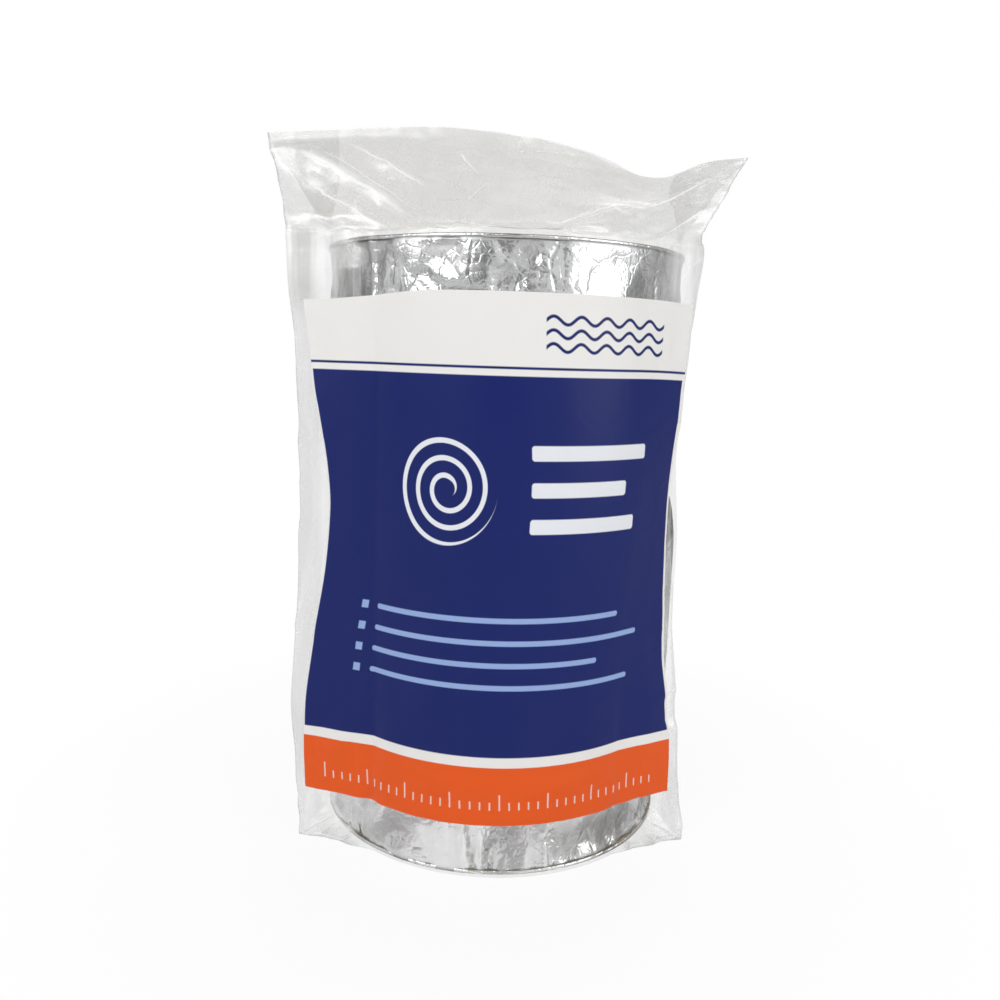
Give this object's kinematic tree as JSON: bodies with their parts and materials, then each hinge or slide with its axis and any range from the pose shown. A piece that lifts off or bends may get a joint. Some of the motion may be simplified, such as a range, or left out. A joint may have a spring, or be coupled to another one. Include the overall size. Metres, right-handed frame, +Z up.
{
  "type": "insulation roll",
  "caption": "Foil-faced glass wool strip wound into a roll, standing on its end in a clear film bag welded flat above it.",
  "frame": {"origin": "the roll's axis at the floor it stands on", "axes": "+Z up along the roll's axis, -Y towards the printed front, +X to the right as seen from the front"},
  "size_m": [0.239, 0.1928, 0.3626],
  "materials": {
    "foil_facing": "crinkled aluminium foil over glass wool, bright with duller patches",
    "clear_film": "clear polyethylene film, glossy and creased, printed at the front"
  },
  "bodies": {
    "root": {"insulation_roll": "foil_facing", "bag": "clear_film"}
  },
  "joints": []
}
